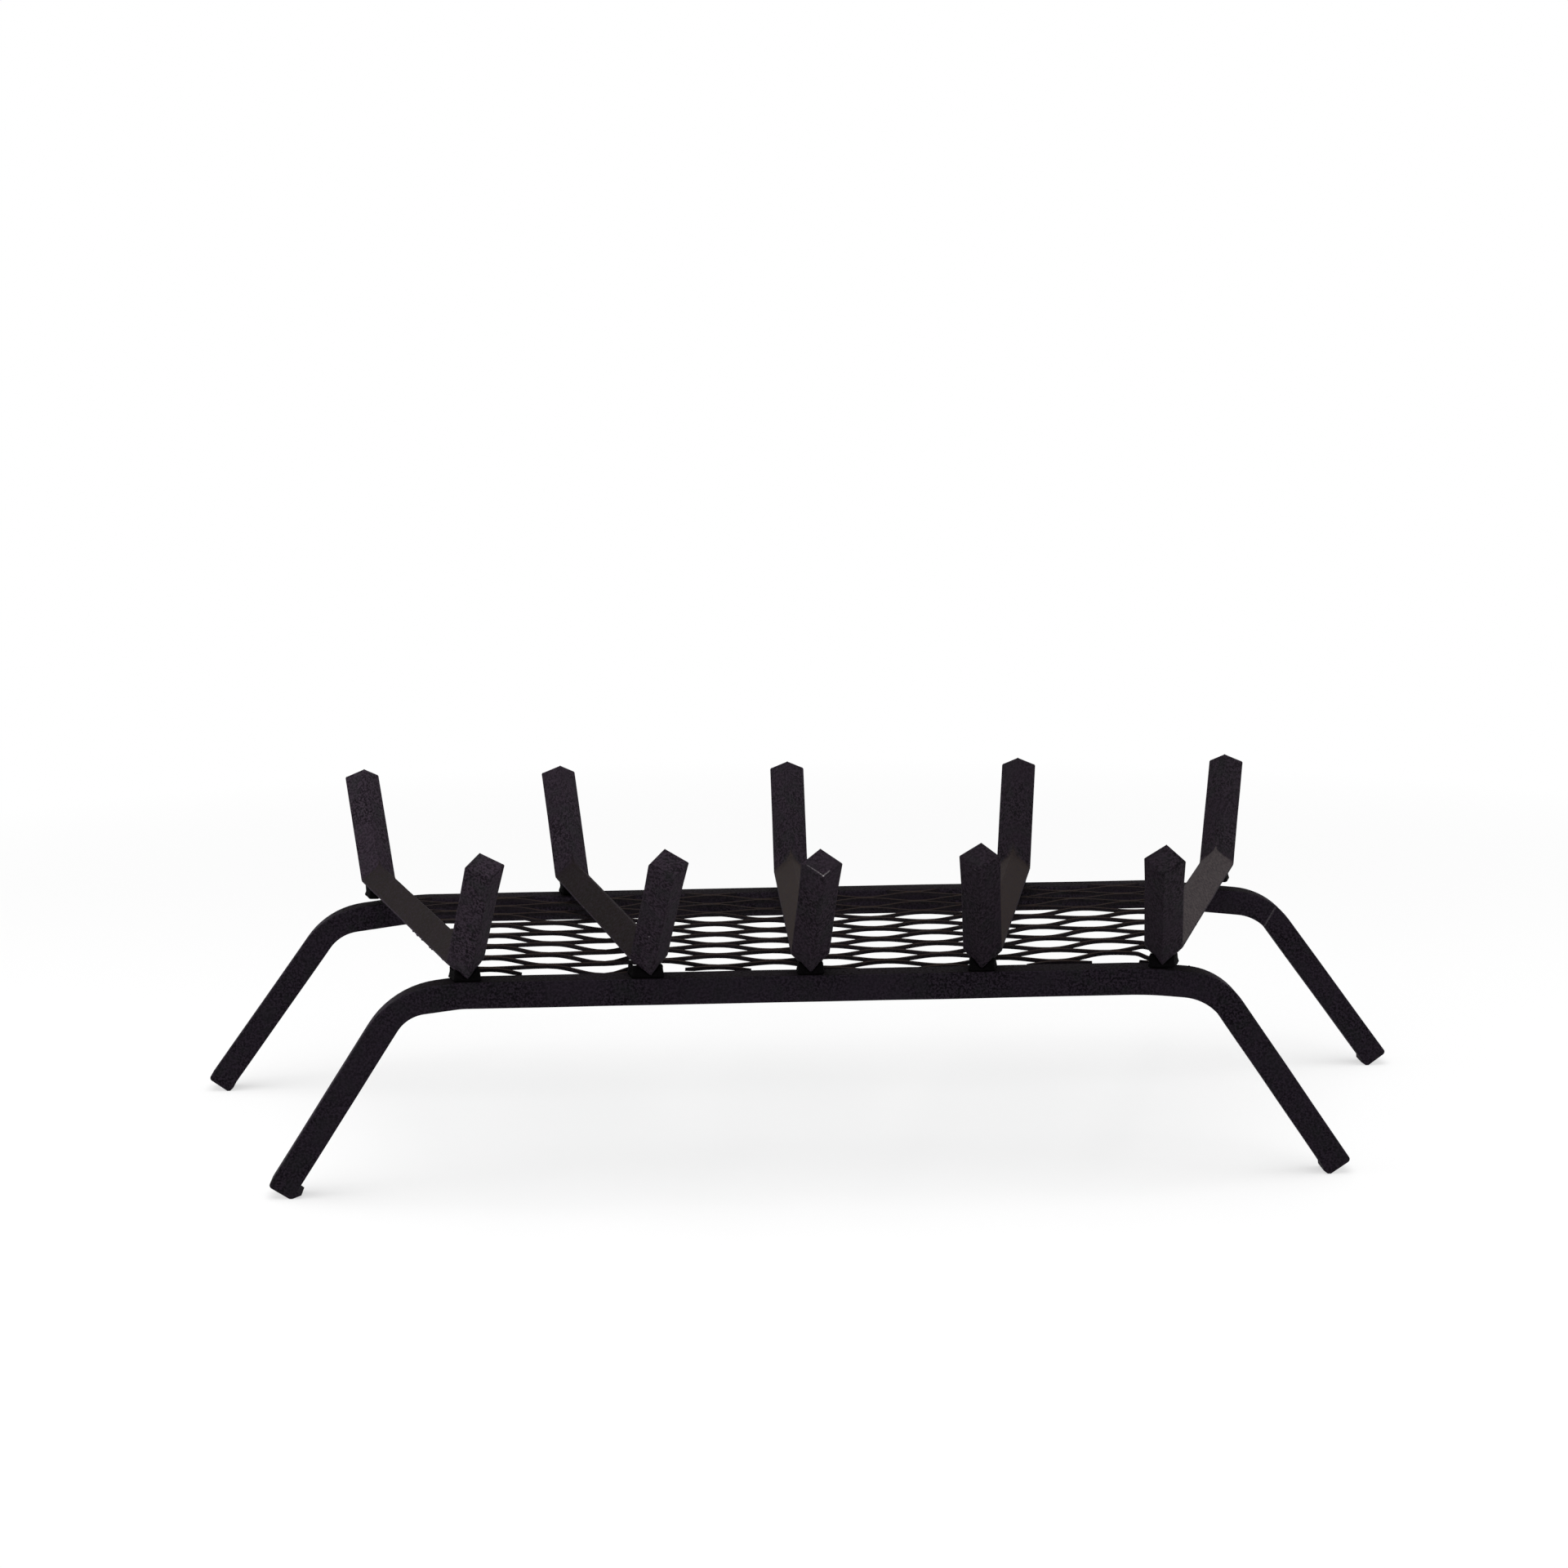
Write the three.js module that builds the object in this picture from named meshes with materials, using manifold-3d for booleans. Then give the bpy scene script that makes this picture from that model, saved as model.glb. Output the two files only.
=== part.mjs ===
// Fireside log grate: two bent frames of square steel bar carry five cross bars that stand on
// their corners and turn up at both ends, with a sheet of flattened expanded metal under them
// that keeps the embers in. Everything is welded, so nothing moves.
//
// Millimetres, +Z up, +X along the rails, +Y from the narrow frame to the wide one.
// While the pieces are made, y = 0 is the outer face of the narrow (front) frame.

import * as THREE from 'three';
import * as BufferGeometryUtils from 'three/addons/utils/BufferGeometryUtils.js';
import Module from 'manifold-3d';

// ---------------------------------------------------------------- driving dimensions

const BAR = 12.7; // side of the square bar that frames and cross bars are cut from
const EDGE = 0.8; // radius that rolling leaves on the bar's long edges
const GAP = 0.3; // clearance between pieces that touch

// Frames: one length of bar each, bent down into two splayed legs.
const RAIL_HEIGHT = 101.4; // top of both rails above the hearth
const FRAME_SPACING = 179; // front frame's outer face to the same face of the rear frame
const FRONT_FRAME_X = -4.3; // the narrow frame is welded this far off the wide one's middle
const FOOT_FLAT = 1.5; // width of the flat worn on the lower edge of each sheared foot
const FOOT_ROLL = 1.8; // radius that the shear rolled over on each foot's outer edge
const BURR_HEIGHT = 1.6; // height of a shear burr's tip above the hearth
const BURR_ROOT = 3.3; // height at which a burr leaves the leg

// Each side of a frame. reach: from the frame's middle to the leg's lower inner edge. splay: lean
// of the leg from upright, in degrees. The rail droops before its tight bend: the droop starts
// droopRun short of where a straight rail would meet the leg, and its underside then follows
// droopRadius through droopTurn degrees. hollow and crown: radii under and over the tight bend,
// which the former flattened differently on each side. burr: how far the shear's burr stands in
// from the leg's inner face.
const FRONT_FRAME = {
  left: {
    reach: 241.8,
    splay: 32.9,
    droopRun: 25.4,
    droopRadius: 38,
    droopTurn: 6.9,
    hollow: 17.4,
    crown: 44.4,
    burr: 3.1,
  },
  right: {
    reach: 241.8,
    splay: 34.1,
    droopRun: 36.8,
    droopRadius: 191,
    droopTurn: 5.9,
    hollow: 24.4,
    crown: 34.5,
    burr: 0.9,
  },
};
const REAR_FRAME = {
  left: {
    reach: 301.9,
    splay: 36.1,
    droopRun: 44.2,
    droopRadius: 107,
    droopTurn: 7.6,
    hollow: 20.7,
    crown: 42.9,
    burr: 0.6,
  },
  right: {
    reach: 301.9,
    splay: 36.1,
    droopRun: 53.2,
    droopRadius: 88,
    droopTurn: 6.3,
    hollow: 24,
    crown: 39.3,
    burr: 1.2,
  },
};

// Cross bars, left to right. side: -1 for left of the middle and 1 for right. offset: from the
// rear frame's middle to where the bar crosses the front rail's middle line. fan: turn of the bar
// away from +Y towards the rear, in degrees. lift: rise of the front end from level. lean: how far
// the front end was bent out of the bar's own upright plane, towards +X. tip: length of the
// upturned front end from the corner of the bend.
const CROSS_BARS = {
  outerLeft: { side: -1, offset: 164.1, fan: 17.5, lift: 60.3, lean: 7.6, tip: 56.6 },
  innerLeft: { side: -1, offset: 80.0, fan: 12.5, lift: 54.1, lean: 3.0, tip: 62.8 },
  middle: { side: -1, offset: 5.2, fan: 0, lift: 55.2, lean: 6.0, tip: 60.8 },
  innerRight: { side: 1, offset: 74.8, fan: 11.8, lift: 59.0, lean: 2.7, tip: 58.9 },
  outerRight: { side: 1, offset: 159.2, fan: 18.8, lift: 53.5, lean: 8.4, tip: 60.8 },
};
const REAR_LIFT = 56; // rise of every rear end from level, in degrees
const REAR_TIP = 60; // length of every upturned rear end from the corner of its bend
const BEND_SETBACK = 4.6; // corner of each upturn, inward from the outer face of its rail
const BAR_BEND_RADIUS = 3; // axis of an upturn to the bar's middle; what lies inside is pinched
const BAR_END_EDGE = 0.7; // broken edge round each sheared bar end
const BAR_BEND_STEPS = 6;

// Welds: one saddle of filler under each cross bar on each rail.
const WELD_BASE = 12.2; // width of a weld on the rail
const WELD_NECK = 11; // width, and twice the height, at which it meets the cross bar's sides
const WELD_WAIST = 9.8; // width that its faces are drawn in towards, between the two
const WELD_START = 1; // inward from the outer face of the rail
const WELD_LENGTH = 9.5;

// Expanded metal: a slit and stretched sheet, rolled flat, long way of the diamonds along X.
const MESH_LONG_PITCH = 53; // diamond to diamond along X
const MESH_SHORT_PITCH = 22.2; // diamond to diamond along Y
const MESH_STRAND = 1.9; // width of a strand
const MESH_THICKNESS = 2;
const MESH_BOND = 8; // length over which two strands stay joined
const MESH_TIP = 1.2; // height of a diamond at its blunt ends
const MESH_FIRST_LEFT = 127; // middle of one diamond, left of the rear frame's middle
const MESH_FIRST_BACK = 18.6; // the same diamond, back from the front face
const MESH_TACK_SHARES = [0.2, 0.8]; // where tacks hang the mesh on each bar, along its run
const TACK_LENGTH = 8;
const TACK_WIDTH = 3.5;

// ---------------------------------------------------------------- shared values and solids

const HALF_DIAGONAL = BAR / Math.SQRT2;
const RIDGE = HALF_DIAGONAL - EDGE * (Math.SQRT2 - 1); // bar's middle to its rounded corner
const BAR_AXIS_HEIGHT = RAIL_HEIGHT + GAP + RIDGE; // each cross bar rests on a corner
const MESH_FRONT = BAR + GAP;
const MESH_REAR = FRAME_SPACING - GAP;
const UP = new THREE.Vector3(0, 0, 1);
const radians = THREE.MathUtils.degToRad;

const wasm = await Module();
wasm.setup();

/** A closed three.js geometry as a manifold solid. Triangles that shrank to a line are left out. */
function solid(geometry) {
  const bare = geometry.clone();
  bare.deleteAttribute('normal');
  bare.deleteAttribute('uv');
  const merged = BufferGeometryUtils.mergeVertices(bare, 1e-4);
  const corners = Array.from(merged.index.array);
  const whole = corners.filter((_, i) => {
    const [a, b, c] = corners.slice(i - (i % 3), i - (i % 3) + 3);
    return a !== b && b !== c && c !== a;
  });
  return new wasm.Manifold(new wasm.Mesh({
    numProp: 3,
    vertProperties: new Float32Array(merged.attributes.position.array),
    triVerts: new Uint32Array(whole),
  }));
}

/** A manifold solid as a three.js geometry. Where cuts left loose scraps, the largest piece stays. */
function geometryOf(body) {
  const pieces = body.decompose().sort((a, b) => b.volume() - a.volume());
  const { vertProperties, triVerts } = pieces[0].getMesh();
  const geometry = new THREE.BufferGeometry();
  geometry.setAttribute('position', new THREE.BufferAttribute(new Float32Array(vertProperties), 3));
  geometry.setIndex(new THREE.BufferAttribute(new Uint32Array(triVerts), 1));
  geometry.computeVertexNormals();
  return geometry;
}

/** Points of an arc, from one angle to another, both included. */
function arc(centre, radius, from, to, steps) {
  return Array.from({ length: steps + 1 }, (_, i) => {
    const angle = from + ((to - from) * i) / steps;
    return new THREE.Vector2(Math.cos(angle), Math.sin(angle)).multiplyScalar(radius).add(centre);
  });
}

// ---------------------------------------------------------------- frames

/**
 * One edge of half a frame in its own upright plane, from the droop's start to the top of the leg.
 * offset is the edge's distance from the underside: 0 for the underside, BAR for the top.
 */
function frameEdge(side, offset, bendRadius) {
  const splay = radians(side.splay);
  const droop = radians(side.droopTurn);
  const legSlope = Math.PI / 2 - splay;
  const underside = RAIL_HEIGHT - BAR;

  const droopStart = side.reach - underside * Math.tan(splay) - side.droopRun;
  const droopCentre = new THREE.Vector2(droopStart, underside - side.droopRadius);
  const drooping = arc(droopCentre, side.droopRadius + offset, Math.PI / 2, Math.PI / 2 - droop, 8);

  // The drooping line and the leg's line cross at a corner, which the tight bend rounds off.
  const line = new THREE.Vector2(Math.cos(droop), -Math.sin(droop));
  const legDown = new THREE.Vector2(Math.sin(splay), -Math.cos(splay));
  const legAcross = new THREE.Vector2(Math.cos(splay), Math.sin(splay));
  const onLeg = new THREE.Vector2(side.reach, 0).addScaledVector(legAcross, offset);
  const start = drooping.at(-1);
  const toFoot = onLeg.clone().sub(start);
  const along = toFoot.cross(legDown) / line.cross(legDown);
  const corner = start.clone().addScaledVector(line, along);
  const turn = legSlope - droop;
  const bendStart = corner.clone().addScaledVector(line, -bendRadius * Math.tan(turn / 2));
  const bendCentre = bendStart.clone().add(new THREE.Vector2(line.y, -line.x).multiplyScalar(bendRadius));
  const bend = arc(bendCentre, bendRadius, Math.PI / 2 - droop, Math.PI / 2 - legSlope, 10);
  return [...drooping, ...bend];
}

/** The sheared foot of half a frame, from the leg's inner face round to its outer face. */
function foot(side) {
  const splay = radians(side.splay);
  const down = new THREE.Vector2(Math.sin(splay), -Math.cos(splay));
  const across = new THREE.Vector2(Math.cos(splay), Math.sin(splay));
  const corner = new THREE.Vector2(side.reach, 0);
  const onLeg = (distance, drop) => (
    corner.clone().addScaledVector(across, distance).addScaledVector(down, drop)
  );
  const innerFaceAt = (height) => onLeg(0, -height / Math.cos(splay));
  const cut = FOOT_FLAT * Math.sin(splay);
  const burrTip = innerFaceAt(BURR_HEIGHT);
  burrTip.x -= side.burr;
  const rollCentre = onLeg(BAR - FOOT_ROLL, cut - FOOT_ROLL);
  const rolled = arc(rollCentre, FOOT_ROLL, splay - Math.PI / 2, splay, 4);
  return [innerFaceAt(BURR_ROOT), burrTip, corner, onLeg(FOOT_FLAT * Math.cos(splay), cut), ...rolled];
}

/** Outline of half a frame, from the underside of its rail, round the foot, to the top of its rail. */
function halfOutline(side, mirror) {
  const outline = [
    ...frameEdge(side, 0, side.hollow),
    ...foot(side),
    ...frameEdge(side, BAR, side.crown).reverse(),
  ];
  return outline.map((point) => new THREE.Vector2(mirror * point.x, point.y));
}

/** A frame: its outline given the bar's width, with the bar's rounded edges. */
function frameGeometry(sides) {
  const outline = [...halfOutline(sides.right, 1), ...halfOutline(sides.left, -1).reverse()];
  const geometry = new THREE.ExtrudeGeometry(new THREE.Shape(outline), {
    depth: BAR - 2 * EDGE,
    bevelThickness: EDGE,
    bevelSize: EDGE,
    bevelOffset: -EDGE,
    bevelSegments: 2,
  });
  geometry.rotateX(Math.PI / 2);
  geometry.translate(0, BAR - EDGE, 0);
  return geometryOf(solid(geometry));
}

// ---------------------------------------------------------------- cross bars

/** Line of a cross bar, seen from above, as x at a given y. */
function barLine(bar, y) {
  return bar.side * (bar.offset + (y - BAR / 2) * Math.tan(radians(bar.fan)));
}

/** Section of the bar stood on its corner, counter-clockwise, grown all round by grow. */
function diamondSection(grow) {
  const radius = EDGE + grow;
  const toCorner = HALF_DIAGONAL - EDGE * Math.SQRT2;
  return [0, 1, 2, 3].flatMap((quarter) => {
    const angle = (quarter * Math.PI) / 2;
    const centre = new THREE.Vector2(Math.cos(angle), Math.sin(angle)).multiplyScalar(toCorner);
    return arc(centre, radius, angle - Math.PI / 4, angle + Math.PI / 4, 2);
  });
}

/** Direction of an end that rises by lift and heads away from the grate at a bearing. */
function endDirection(bearing, lift, outward) {
  return new THREE.Vector3(
    Math.sin(bearing) * Math.cos(lift),
    outward * Math.cos(bearing) * Math.cos(lift),
    Math.sin(lift),
  );
}

/**
 * Rings of one upturned end, from its bend's start on the level run to the sheared end. section
 * holds the bar's corners as offsets from its middle, and heading points out along the run. The
 * bend is tighter than the bar is deep, so corners inside its axis are pinched into one crease, on
 * the plane that halves the bend.
 */
function upturn(section, corner, heading, direction, tip) {
  const full = new THREE.Quaternion().setFromUnitVectors(heading, direction);
  const inward = direction.clone().addScaledVector(heading, -direction.dot(heading)).normalize();
  const runBack = Math.tan(heading.angleTo(direction) / 2);
  const axis = corner.clone()
    .addScaledVector(heading, -BAR_BEND_RADIUS * runBack)
    .addScaledVector(inward, BAR_BEND_RADIUS);

  const bendRing = (share) => {
    const turned = new THREE.Quaternion().slerp(full, share);
    return section.map((offset) => {
      const depth = offset.dot(inward);
      if (depth > BAR_BEND_RADIUS) {
        return corner.clone().add(offset).addScaledVector(heading, -depth * runBack);
      }
      const arm = offset.clone().addScaledVector(inward, -BAR_BEND_RADIUS);
      return arm.applyQuaternion(turned).add(axis);
    });
  };
  const endRing = (distance, scale) => section.map((offset) => (
    offset.clone().multiplyScalar(scale).applyQuaternion(full).add(corner)
      .addScaledVector(direction, distance)
  ));
  const bend = Array.from({ length: BAR_BEND_STEPS + 1 }, (_, i) => bendRing(i / BAR_BEND_STEPS));
  return [...bend, endRing(tip - BAR_END_EDGE, 1), endRing(tip, 1 - (2 * BAR_END_EDGE) / BAR)];
}

/** Loft of the diamond section along one cross bar, from the front end to the rear end. */
function crossBarGeometry(bar, grow = 0) {
  const fan = bar.side * radians(bar.fan);
  const rearward = new THREE.Vector3(Math.sin(fan), Math.cos(fan), 0);
  const across = new THREE.Vector3(Math.cos(fan), -Math.sin(fan), 0);
  const cornerAt = (y) => new THREE.Vector3(barLine(bar, y), y, BAR_AXIS_HEIGHT);
  const frontEnd = endDirection(radians(bar.lean) - fan, radians(bar.lift), -1);
  const rearEnd = endDirection(fan, radians(REAR_LIFT), 1);
  const forward = rearward.clone().negate();
  const rearCorner = cornerAt(FRAME_SPACING + BAR - BEND_SETBACK);
  const section = diamondSection(grow).map((point) => (
    across.clone().multiplyScalar(point.x).addScaledVector(UP, point.y)
  ));
  const rings = [
    ...upturn(section, cornerAt(BEND_SETBACK), forward, frontEnd, bar.tip + grow).reverse(),
    ...upturn(section, rearCorner, rearward, rearEnd, REAR_TIP + grow),
  ];

  const count = section.length;
  const faces = [];
  for (let ring = 0; ring + 1 < rings.length; ring += 1) {
    for (let i = 0; i < count; i += 1) {
      const a = ring * count + i;
      const b = ring * count + ((i + 1) % count);
      faces.push(a, a + count, b, b, a + count, b + count);
    }
  }
  const last = (rings.length - 1) * count;
  for (let i = 1; i + 1 < count; i += 1) {
    faces.push(0, i, i + 1, last, last + i + 1, last + i);
  }
  const geometry = new THREE.BufferGeometry().setFromPoints(rings.flat());
  geometry.setIndex(faces);
  geometry.computeVertexNormals();
  return geometry;
}

// ---------------------------------------------------------------- welds

/**
 * Filler along one side of a cross bar, before the bar is cut out of it. side is 1 for the +X
 * side and -1 for the other. The outer face is drawn in between its foot and its neck.
 */
function filletBlank(side, base, waist, neck, length) {
  const outline = new THREE.Shape();
  outline.moveTo(0, 0);
  outline.lineTo(side * base, 0);
  outline.quadraticCurveTo(side * waist, neck / 3, side * neck, neck);
  outline.lineTo(0, neck);
  const geometry = new THREE.ExtrudeGeometry(outline, {
    depth: length,
    bevelEnabled: false,
    curveSegments: 4,
  });
  geometry.rotateX(Math.PI / 2);
  geometry.translate(0, length / 2, 0);
  return geometry;
}

/** Sets filler beside a cross bar at a given y, and cuts the bar out of it. */
function besideBar(filler, bar, y) {
  const turned = filler.rotate([0, 0, -bar.side * bar.fan]);
  const placed = turned.translate([barLine(bar, y), y, RAIL_HEIGHT + GAP]);
  return placed.subtract(solid(crossBarGeometry(bar, GAP)));
}

/**
 * The saddle weld between a cross bar and the rail whose outer face is at outerY: filler on both
 * sides of the bar, joined where the bend lifts it off the rail. inward is 1 for the front rail,
 * whose outer face looks to -Y, and -1 for the rear one.
 */
function weldGeometry(bar, outerY, inward) {
  const y = outerY + inward * (WELD_START + WELD_LENGTH / 2);
  const [left, right] = [-1, 1].map((side) => (
    solid(filletBlank(side, WELD_BASE / 2, WELD_WAIST / 2, WELD_NECK / 2, 2 * WELD_LENGTH))
  ));
  const alongRail = new THREE.BoxGeometry(4 * WELD_BASE, WELD_LENGTH, 4 * WELD_NECK);
  alongRail.translate(barLine(bar, y), y, RAIL_HEIGHT);
  return geometryOf(besideBar(left.add(right), bar, y).intersect(solid(alongRail)));
}

// ---------------------------------------------------------------- ember mesh

const meshLongest = MESH_LONG_PITCH - MESH_BOND;
const meshTallest = MESH_SHORT_PITCH - 2 * MESH_STRAND;

/** Outline of one stretched slit: a long lens with blunt ends. */
function slitShape() {
  const steps = 6;
  const half = Array.from({ length: steps + 1 }, (_, i) => {
    const along = -1 + (2 * i) / steps;
    const swell = (1 + Math.cos(Math.PI * along)) / 2;
    const height = MESH_TIP + (meshTallest - MESH_TIP) * swell ** 0.8;
    return new THREE.Vector2((along * meshLongest) / 2, -height / 2);
  });
  const back = half.map((point) => new THREE.Vector2(-point.x, -point.y));
  return new THREE.Shape([...half, ...back]);
}

/** Middles of the slits that reach into the sheet, row by row, each row half a pitch over. */
function slitMiddles(left, right) {
  const middles = [];
  const firstRow = Math.floor((MESH_FRONT - MESH_FIRST_BACK) / (MESH_SHORT_PITCH / 2)) - 1;
  const lastRow = Math.ceil((MESH_REAR - MESH_FIRST_BACK) / (MESH_SHORT_PITCH / 2)) + 1;
  for (let row = firstRow; row <= lastRow; row += 1) {
    const y = MESH_FIRST_BACK + (row * MESH_SHORT_PITCH) / 2;
    const shift = row % 2 ? 0.5 : 0;
    const first = Math.floor((barLine(left, y) + MESH_FIRST_LEFT) / MESH_LONG_PITCH) - 1;
    const last = Math.ceil((barLine(right, y) + MESH_FIRST_LEFT) / MESH_LONG_PITCH) + 1;
    for (let column = first; column <= last; column += 1) {
      middles.push(new THREE.Vector2((column + shift) * MESH_LONG_PITCH - MESH_FIRST_LEFT, y));
    }
  }
  return middles;
}

/** The expanded sheet, sheared off along the rails and along the two outer cross bars. */
function meshGeometry(left, right) {
  const bottom = RAIL_HEIGHT - MESH_THICKNESS;
  const sheet = new THREE.ExtrudeGeometry(new THREE.Shape([
    new THREE.Vector2(barLine(left, MESH_FRONT), MESH_FRONT),
    new THREE.Vector2(barLine(right, MESH_FRONT), MESH_FRONT),
    new THREE.Vector2(barLine(right, MESH_REAR), MESH_REAR),
    new THREE.Vector2(barLine(left, MESH_REAR), MESH_REAR),
  ]), { depth: MESH_THICKNESS, bevelEnabled: false });
  sheet.translate(0, 0, bottom);
  const slit = new THREE.ExtrudeGeometry(slitShape(), { depth: 3 * MESH_THICKNESS, bevelEnabled: false });
  slit.translate(0, 0, bottom - MESH_THICKNESS);
  const cutter = solid(slit);
  const cutters = slitMiddles(left, right).map((middle) => cutter.translate([middle.x, middle.y, 0]));
  return geometryOf(solid(sheet).subtract(wasm.Manifold.union(cutters)));
}

/** y of the row, near a share of the cross bar's run, whose joined strands lie nearest to the bar. */
function nearestBondRow(bar, share) {
  const wanted = MESH_FRONT + share * (MESH_REAR - MESH_FRONT);
  const rowPitch = MESH_SHORT_PITCH / 2;
  const rows = [-2, -1, 0, 1, 2].map((step) => {
    const row = Math.round((wanted - MESH_FIRST_BACK) / rowPitch) + step;
    const y = MESH_FIRST_BACK + row * rowPitch;
    const shift = row % 2 ? 0 : 0.5;
    const pitches = (barLine(bar, y) + MESH_FIRST_LEFT) / MESH_LONG_PITCH - shift;
    return { y, miss: Math.abs(pitches - Math.round(pitches)) };
  });
  return rows.sort((a, b) => a.miss - b.miss)[0].y;
}

/** A tack between the underside of a cross bar and the mesh, on the side nearer the middle. */
function tackGeometry(bar, share) {
  const filler = solid(filletBlank(-bar.side, TACK_WIDTH, TACK_WIDTH, TACK_WIDTH, TACK_LENGTH));
  return geometryOf(besideBar(filler, bar, nearestBondRow(bar, share)));
}

// ---------------------------------------------------------------- assembly

const frameSteel = new THREE.MeshStandardMaterial({ color: 0x1c1a1f, roughness: 0.5, metalness: 0.3 });
const barSteel = new THREE.MeshStandardMaterial({ color: 0x211f24, roughness: 0.5, metalness: 0.3 });
const meshSteel = new THREE.MeshStandardMaterial({ color: 0x2a2426, roughness: 0.6, metalness: 0.3 });
const weldSteel = new THREE.MeshStandardMaterial({ color: 0x141216, roughness: 0.7, metalness: 0.3 });

const group = new THREE.Group();

function add(name, geometry, material, position = new THREE.Vector3()) {
  const mesh = new THREE.Mesh(geometry, material);
  mesh.name = name;
  mesh.position.copy(position);
  group.add(mesh);
}

add('front_frame', frameGeometry(FRONT_FRAME), frameSteel, new THREE.Vector3(FRONT_FRAME_X, 0, 0));
add('rear_frame', frameGeometry(REAR_FRAME), frameSteel, new THREE.Vector3(0, FRAME_SPACING, 0));
Object.values(CROSS_BARS).forEach((bar, i) => {
  add(`cross_bar_${i + 1}`, geometryOf(solid(crossBarGeometry(bar))), barSteel);
  add(`front_weld_${i + 1}`, weldGeometry(bar, 0, 1), weldSteel);
  add(`rear_weld_${i + 1}`, weldGeometry(bar, FRAME_SPACING + BAR, -1), weldSteel);
  MESH_TACK_SHARES.forEach((share, j) => {
    add(`mesh_tack_${i + 1}_${j + 1}`, tackGeometry(bar, share), weldSteel);
  });
});
add('ember_mesh', meshGeometry(CROSS_BARS.outerLeft, CROSS_BARS.outerRight), meshSteel);

// The origin goes to the middle of the footprint, on the hearth.
const extent = new THREE.Box3().setFromObject(group);
const middle = extent.getCenter(new THREE.Vector3());
group.position.set(-middle.x, -middle.y, -extent.min.z);

export default group;
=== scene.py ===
"""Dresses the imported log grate: finished bars, welds and ember mesh in black-painted steel."""
import random
from math import cos, pi, radians, sin

import bmesh
import bpy
from mathutils import Matrix, Vector, noise
from mathutils.bvhtree import BVHTree


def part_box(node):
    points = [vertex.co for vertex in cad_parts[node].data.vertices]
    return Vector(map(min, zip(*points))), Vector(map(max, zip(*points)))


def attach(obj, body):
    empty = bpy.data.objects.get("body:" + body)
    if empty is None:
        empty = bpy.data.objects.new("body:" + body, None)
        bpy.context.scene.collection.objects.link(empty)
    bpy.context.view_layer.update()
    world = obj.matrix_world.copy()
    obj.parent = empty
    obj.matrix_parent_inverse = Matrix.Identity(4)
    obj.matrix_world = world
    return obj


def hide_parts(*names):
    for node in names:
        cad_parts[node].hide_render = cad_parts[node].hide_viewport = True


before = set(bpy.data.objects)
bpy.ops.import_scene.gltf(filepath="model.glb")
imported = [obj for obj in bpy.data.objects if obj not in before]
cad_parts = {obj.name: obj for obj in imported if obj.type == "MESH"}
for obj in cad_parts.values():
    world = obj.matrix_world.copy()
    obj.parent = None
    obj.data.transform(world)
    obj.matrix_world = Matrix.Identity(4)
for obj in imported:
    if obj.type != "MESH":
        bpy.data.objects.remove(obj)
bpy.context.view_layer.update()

scene = bpy.context.scene
scene.view_settings.view_transform = "Standard"

MM = 0.001

# ---------------------------------------------------------------- sizes: camera and light

CAMERA_PLACE = Vector((-71.7, -1311.8, 409.2)) * MM
CAMERA_TURN = (79.842, 0.556, -2.685)  # degrees
CAMERA_LENS = 62.63  # mm
CAMERA_SENSOR = 36.0  # mm

WHITE = (1, 1, 1, 1)
ROOM_LIGHT = 0.42  # strength of the light that the world sends to the object
LAMP_TARGET = Vector((0, 0, 0.08))
SOFTBOXES = [  # name, place and size in metres, power in watts
    ("overhead", (-0.1, -0.25, 1.5), 1.4, 19),
    ("left_side", (-1.3, -0.1, 0.3), 0.8, 8),
    ("right_side", (1.3, -0.1, 0.3), 0.8, 8),
]

FLOOR_SIZE = 6  # metres from the middle to each side
FLOOR_COLOUR = (0.86, 0.86, 0.86, 1)
FLOOR_GLOW = 0.62  # share of pure white in the floor near the feet, which softens the shadow
SHADOW_NEAR = 0.35  # metres from the middle: the floor gets whiter from here
SHADOW_FAR = 1.1  # and is pure white from here

# ---------------------------------------------------------------- sizes: frames and bars

FRAMES = ["front_frame", "rear_frame"]
BARS = [f"cross_bar_{i}" for i in range(1, 6)]

CORNER_MERGE = 0.002 * MM  # corners of a CAD node closer than this are one corner
FLAT_ANGLE = radians(0.4)  # faces that meet at less than this are one face
FLAT_WEIGHT = 60  # how strongly a bar's flats stay flat where the shading is smoothed

RING_STEP = 9 * MM  # spacing of the rings that let a bar waver
RING_TOUCH = 0.02 * MM  # a corner this close to a ring is on it
LEG_RINGS = 85 * MM  # height that the legs are ringed to
WAVER = 0.14 * MM  # how far hand bending and rolling leave a bar off true
WAVER_LENGTH = 34 * MM
WAVER_SHIFT = (7.3, 3.1)  # sets each bar's waver apart from the next one's
FRAME_SEED = 1
BAR_SEED = 5
FOOT_HEIGHT = 0.01 * MM  # corners lower than this stand on the floor

END_CORNERS = 6  # only a sheared end has more corners than this
FRONTWARD = Vector((0, -1, 0.4))  # roughly where the sheared ends face
REARWARD = Vector((0, 1, 0.4))
END_RIM = 0.9 * MM  # rim that the shear rolled round each cut end
END_DISH = 0.22 * MM  # depth of the cut end inside its rim
END_SPREAD = 0.06  # share by which the shear's edge is fuller than the CAD's chamfer
END_FLARE = 1.045  # how much the shear's squeeze widened each front end
FLARE_DEPTH = 2 * MM  # how far from the end the bar is widened
TIP_GROWTH = {"cross_bar_1": 0.7 * MM, "cross_bar_2": 0.7 * MM, "cross_bar_4": 0.5 * MM}
SHARPER = 0.24 * MM  # how far the bars' corners stand out beyond the CAD's rounded ones
THIN_FACE = 0.75 * MM  # a face of a rounded corner is narrower than this

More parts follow.
